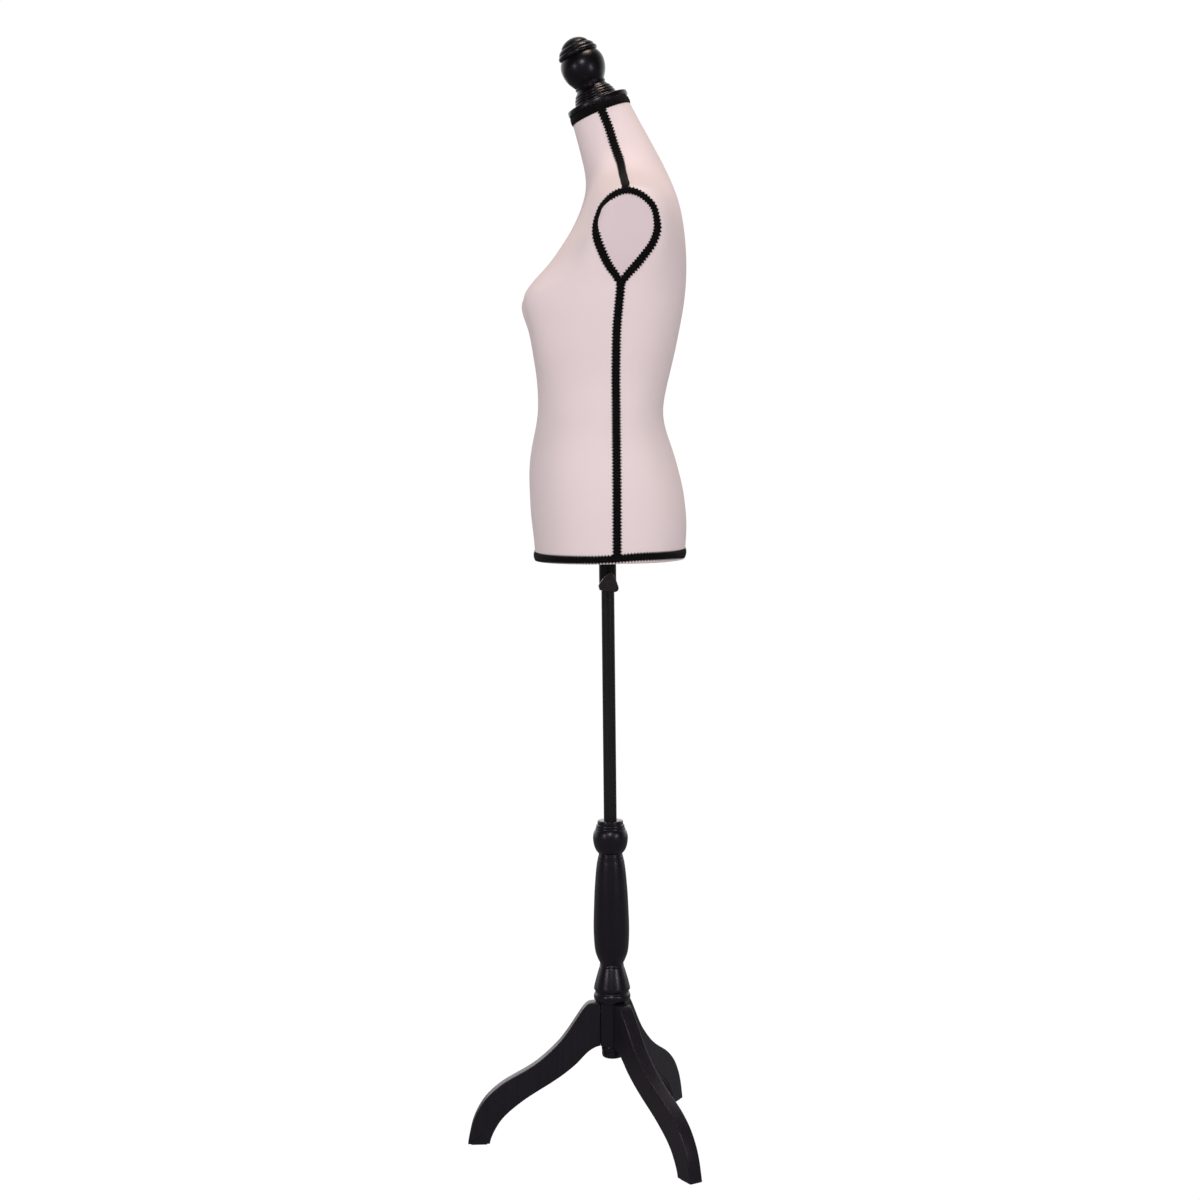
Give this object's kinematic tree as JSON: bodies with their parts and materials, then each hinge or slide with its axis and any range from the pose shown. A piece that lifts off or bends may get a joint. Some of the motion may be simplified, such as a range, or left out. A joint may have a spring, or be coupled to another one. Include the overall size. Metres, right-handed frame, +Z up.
{
  "type": "dress form mannequin",
  "caption": "Fabric-covered dress form torso with braid trims and turned finial, on a height-adjustable pole with clamp knob and a three-legged turned wooden stand.",
  "frame": {"origin": "middle of the bounding box's lower face: on the floor, 50.4 mm in front of the pole axis and 3.0 mm to its +X side, because the three-legged stand is set 1.6 degrees round the pole against the torso", "axes": "+Z up along the pole, the form faces -Y, +X is the form's left side, where the clamp knob is"},
  "size_m": [0.4032, 0.3556, 1.7011],
  "materials": {
    "jersey": "matte knit",
    "braid": "woven braid",
    "foam": "matte moulded foam",
    "black_wood": "satin lacquer",
    "board": "raw plywood",
    "black_steel": "semi-gloss",
    "zinc": "zinc plated",
    "nylon": "matte",
    "knob_plastic": "matte",
    "felt": "matte"
  },
  "bodies": {
    "stand": {"column": "black_wood", "hub": "black_wood", "column_stud": "zinc", "pole": "black_steel", "pole_plug": "nylon", "leg_front": "black_wood", "leg_bolt_front": "zinc", "leg_dowel_front": "board", "foot_pad_front": "felt", "leg_rear_right": "black_wood", "leg_bolt_rear_right": "zinc", "leg_dowel_rear_right": "board", "foot_pad_rear_right": "felt", "leg_rear_left": "black_wood", "leg_bolt_rear_left": "zinc", "leg_dowel_rear_left": "board", "foot_pad_rear_left": "felt"},
    "carriage": {"lower_bush": "nylon", "upper_bush": "nylon"},
    "clamp_tip": {"clamp_pad": "nylon"},
    "clamp_handle": {"clamp_screw": "zinc", "clamp_knob": "knob_plastic"},
    "torso": {"neck_cap": "black_wood", "finial": "black_wood", "finial_stud": "zinc", "flange_screw_1": "zinc", "flange_screw_2": "zinc", "flange_screw_3": "zinc", "neck_block": "board", "base_board": "board", "chest_board": "board", "sleeve_tube": "black_steel", "socket_flange": "black_steel", "clamp_nut": "black_steel", "foam_body": "foam", "cover_front": "jersey", "cover_back": "jersey", "armhole_panel_left": "jersey", "armhole_panel_right": "jersey", "bottom_cover": "jersey", "hem_braid": "braid", "neck_braid": "braid", "side_braid_left": "braid", "side_braid_right": "braid", "armhole_braid_left": "braid", "armhole_braid_right": "braid", "shoulder_braid_left": "braid", "shoulder_braid_right": "braid"}
  },
  "joints": [
    {"name": "torso_lift", "type": "slide", "parent": "stand", "child": "carriage", "axis": [0, 0, 1], "range_m": [-0.35, 0.02]},
    {"name": "torso_turn", "type": "hinge", "parent": "carriage", "child": "torso", "pos_m": [-0.00298, 0.05037, 0.9], "axis": [0, 0, 1], "continuous": true},
    {"name": "clamp_tip_travel", "type": "slide", "parent": "torso", "child": "clamp_tip", "axis": [1, 0, 0], "range_m": [0, 0.0026]},
    {"name": "clamp_screw_turn", "type": "hinge", "parent": "clamp_tip", "child": "clamp_handle", "pos_m": [0.00902, 0.05037, 0.878], "axis": [1, 0, 0], "range_deg": [0, 720]}
  ],
  "couplings": [
    {"joint": "clamp_tip_travel", "follows": "clamp_screw_turn", "m_per_rad": 0.00019894}
  ]
}
